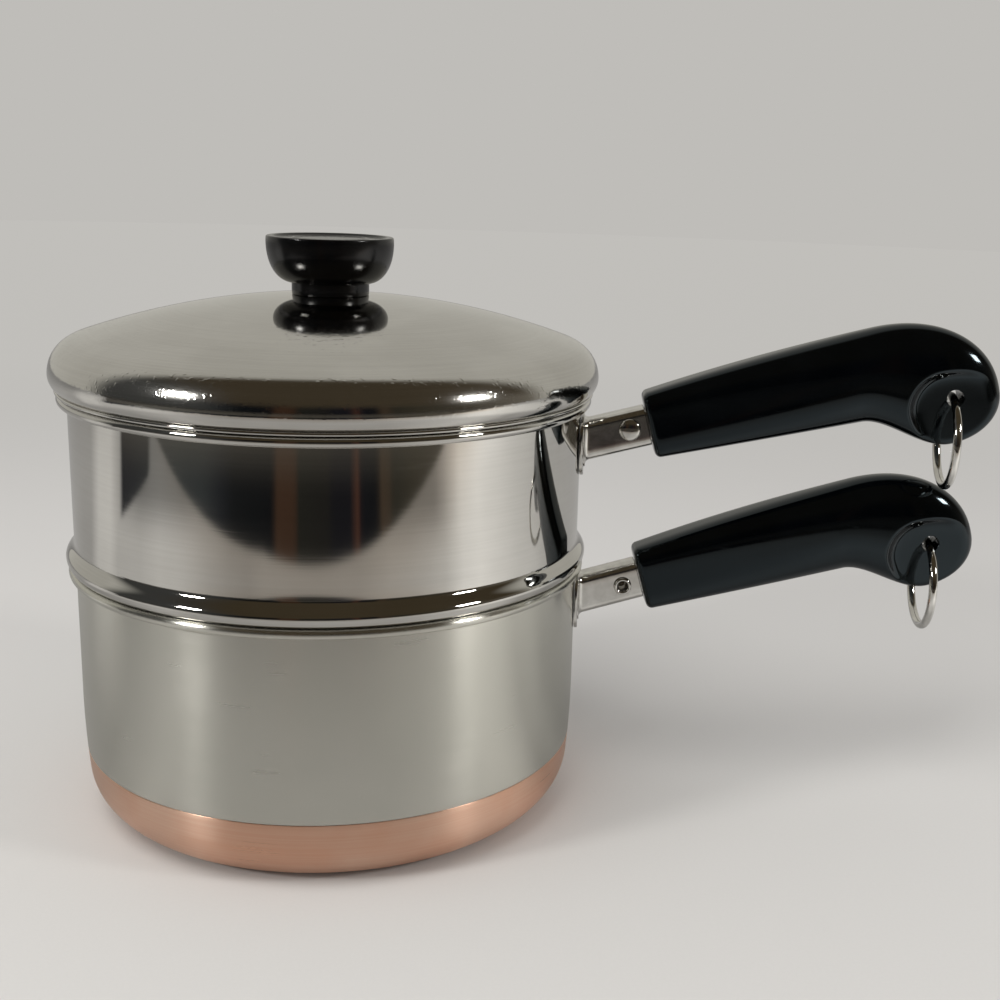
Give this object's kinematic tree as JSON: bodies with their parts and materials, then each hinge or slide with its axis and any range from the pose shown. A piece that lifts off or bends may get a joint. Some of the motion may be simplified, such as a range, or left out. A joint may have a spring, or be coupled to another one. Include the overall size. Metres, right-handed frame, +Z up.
{
  "type": "saucepan with steamer insert",
  "caption": "Round saucepan with a copper base, a stacked perforated steamer insert, a domed lid with a knob, and two long handles with hanging rings.",
  "frame": {"origin": "middle of the saucepan's flat copper underside, on the axis of the vessels", "axes": "+Z up along the axis of the vessels, +X along the saucepan's handle, away from the pan"},
  "size_m": [0.324, 0.1844, 0.1972],
  "materials": {
    "pan_steel": "satin, brushed round the wall",
    "mirror_steel": "polished, with fine lines round the wall",
    "plated_steel": "bright",
    "copper": "satin copper, brushed round the base",
    "phenolic": "glossy black moulded phenolic",
    "brass": "plain turned brass"
  },
  "bodies": {
    "saucepan": {"pan_shell": "pan_steel", "copper_base": "copper", "pan_bracket": "plated_steel", "pan_tang": "plated_steel", "pan_rivet": "plated_steel", "pan_grip": "phenolic"},
    "pan_hanging_ring": {"pan_ring": "plated_steel"},
    "steamer": {"steamer_shell": "mirror_steel", "steamer_bracket": "plated_steel", "steamer_tang": "plated_steel", "steamer_rivet": "plated_steel", "steamer_grip": "phenolic"},
    "steamer_hanging_ring": {"steamer_ring": "plated_steel"},
    "lid": {"lid_shell": "mirror_steel", "lid_stud": "plated_steel", "knob": "phenolic", "knob_insert": "brass"}
  },
  "joints": [
    {"name": "steamer_lift", "type": "slide", "parent": "saucepan", "child": "steamer", "axis": [0, 0, 1], "range_m": [0, 0.1]},
    {"name": "lid_lift", "type": "slide", "parent": "steamer", "child": "lid", "axis": [0, 0, 1], "range_m": [0, 0.08]},
    {"name": "pan_ring_swing", "type": "hinge", "parent": "saucepan", "child": "pan_hanging_ring", "pos_m": [0.215, 0, 0.0943], "axis": [0, -1, 0], "range_deg": [-60, 100]},
    {"name": "steamer_ring_swing", "type": "hinge", "parent": "steamer", "child": "steamer_hanging_ring", "pos_m": [0.21526, -0.01015, 0.14925], "axis": [-0.0471, -0.9989, 0], "range_deg": [-60, 100]}
  ]
}
